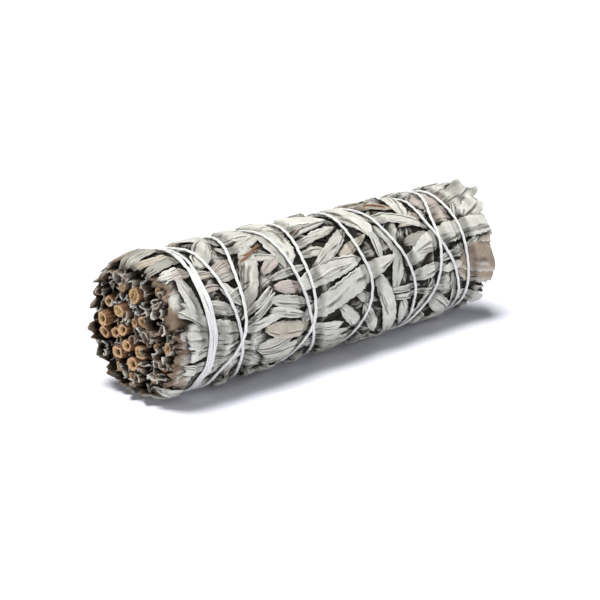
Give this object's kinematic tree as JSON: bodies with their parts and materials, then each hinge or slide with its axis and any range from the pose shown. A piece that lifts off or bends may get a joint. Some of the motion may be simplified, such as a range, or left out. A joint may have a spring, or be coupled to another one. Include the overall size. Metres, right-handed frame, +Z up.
{
  "type": "sage smudge stick",
  "caption": "Tied bundle of dried sage lying on its side, with cut woody stems at one end, overlapping folded leaves and a cotton string wound round it.",
  "frame": {"origin": "centre of the bundle's footprint, on the surface it lies on", "axes": "+X along the bundle from the cut stems to the leaf tips, -Y towards the viewer of the picture's long side, +Z up"},
  "size_m": [0.1453, 0.0481, 0.0456],
  "materials": {
    "sage_leaf": "matte dried leaf, pale grey-green",
    "sage_stem": "dry orange-brown bark with pale pith",
    "cotton_string": "soft matte white cotton"
  },
  "bodies": {
    "root": {"leaves_01": "sage_leaf", "leaves_02": "sage_leaf", "leaves_03": "sage_leaf", "leaves_04": "sage_leaf", "leaves_05": "sage_leaf", "leaves_06": "sage_leaf", "leaves_07": "sage_leaf", "leaves_08": "sage_leaf", "leaves_09": "sage_leaf", "leaves_10": "sage_leaf", "leaves_11": "sage_leaf", "leaves_12": "sage_leaf", "leaves_13": "sage_leaf", "leaves_14": "sage_leaf", "leaves_15": "sage_leaf", "leaves_16": "sage_leaf", "leaves_17": "sage_leaf", "leaves_18": "sage_leaf", "leaves_19": "sage_leaf", "leaves_20": "sage_leaf", "leaves_21": "sage_leaf", "leaves_22": "sage_leaf", "stem_01": "sage_stem", "stem_02": "sage_stem", "stem_03": "sage_stem", "stem_04": "sage_stem", "stem_05": "sage_stem", "stem_06": "sage_stem", "stem_07": "sage_stem", "stem_08": "sage_stem", "stem_09": "sage_stem", "stem_10": "sage_stem", "stem_11": "sage_stem", "stem_12": "sage_stem", "stem_13": "sage_stem", "stem_14": "sage_stem", "stem_15": "sage_stem", "stem_16": "sage_stem", "stem_17": "sage_stem", "stem_18": "sage_stem", "stem_19": "sage_stem", "stem_20": "sage_stem", "stem_21": "sage_stem", "stem_22": "sage_stem", "string": "cotton_string"}
  },
  "joints": []
}
